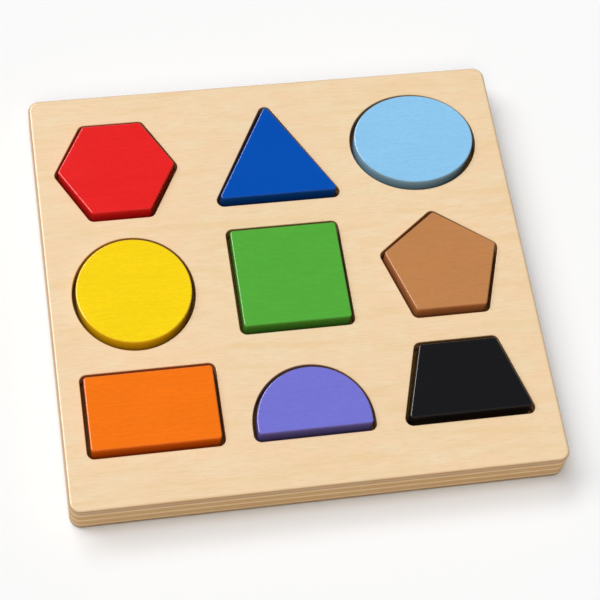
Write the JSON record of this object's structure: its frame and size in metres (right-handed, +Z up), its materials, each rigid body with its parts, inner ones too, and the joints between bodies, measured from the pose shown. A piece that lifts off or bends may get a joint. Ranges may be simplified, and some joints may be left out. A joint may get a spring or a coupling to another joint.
{
  "type": "shape board",
  "caption": "Flat plywood board with shaped recesses, each holding a loose painted wooden block that lifts straight out, for small children to sort and match by outline and colour.",
  "frame": {"origin": "middle of the board's underside", "axes": "+Z up out of the recesses, +X to the right along the board's longer side, +Y to the back, away from the half round block"},
  "size_m": [0.225, 0.212, 0.0223],
  "materials": {
    "birch_face": "pale birch veneer, sanded and clear lacquered, satin",
    "birch_core": "bare ply edge, sanded",
    "birch_crossband": "bare ply edge, sanded",
    "red_paint": "solid wood, red satin paint",
    "blue_paint": "solid wood, blue satin paint",
    "light_blue_paint": "solid wood, light blue satin paint",
    "yellow_paint": "solid wood, yellow satin paint",
    "green_paint": "solid wood, green satin paint",
    "brown_paint": "solid wood, light brown satin paint",
    "orange_paint": "solid wood, orange satin paint",
    "purple_paint": "solid wood, purple satin paint",
    "black_paint": "solid wood, black satin paint"
  },
  "bodies": {
    "board": {"bottom_face_ply": "birch_face", "lower_crossband": "birch_crossband", "lower_core_ply": "birch_core", "middle_crossband": "birch_crossband", "upper_core_ply": "birch_core", "upper_crossband": "birch_crossband", "top_face_ply": "birch_face"},
    "red_hexagon": {"red_hexagon_block": "red_paint"},
    "blue_triangle": {"blue_triangle_block": "blue_paint"},
    "light_blue_ellipse": {"light_blue_ellipse_block": "light_blue_paint"},
    "yellow_disc": {"yellow_disc_block": "yellow_paint"},
    "green_square": {"green_square_block": "green_paint"},
    "brown_pentagon": {"brown_pentagon_block": "brown_paint"},
    "orange_rectangle": {"orange_rectangle_block": "orange_paint"},
    "purple_half_round": {"purple_half_round_block": "purple_paint"},
    "black_trapezoid": {"black_trapezoid_block": "black_paint"}
  },
  "joints": [
    {"name": "red_hexagon_lift", "type": "slide", "parent": "board", "child": "red_hexagon", "axis": [0, 0, 1], "range_m": [0, 0.03]},
    {"name": "blue_triangle_lift", "type": "slide", "parent": "board", "child": "blue_triangle", "axis": [0, 0, 1], "range_m": [0, 0.03]},
    {"name": "light_blue_ellipse_lift", "type": "slide", "parent": "board", "child": "light_blue_ellipse", "axis": [0, 0, 1], "range_m": [0, 0.03]},
    {"name": "yellow_disc_lift", "type": "slide", "parent": "board", "child": "yellow_disc", "axis": [0, 0, 1], "range_m": [0, 0.03]},
    {"name": "green_square_lift", "type": "slide", "parent": "board", "child": "green_square", "axis": [0, 0, 1], "range_m": [0, 0.03]},
    {"name": "brown_pentagon_lift", "type": "slide", "parent": "board", "child": "brown_pentagon", "axis": [0, 0, 1], "range_m": [0, 0.03]},
    {"name": "orange_rectangle_lift", "type": "slide", "parent": "board", "child": "orange_rectangle", "axis": [0, 0, 1], "range_m": [0, 0.03]},
    {"name": "purple_half_round_lift", "type": "slide", "parent": "board", "child": "purple_half_round", "axis": [0, 0, 1], "range_m": [0, 0.03]},
    {"name": "black_trapezoid_lift", "type": "slide", "parent": "board", "child": "black_trapezoid", "axis": [0, 0, 1], "range_m": [0, 0.03]}
  ]
}
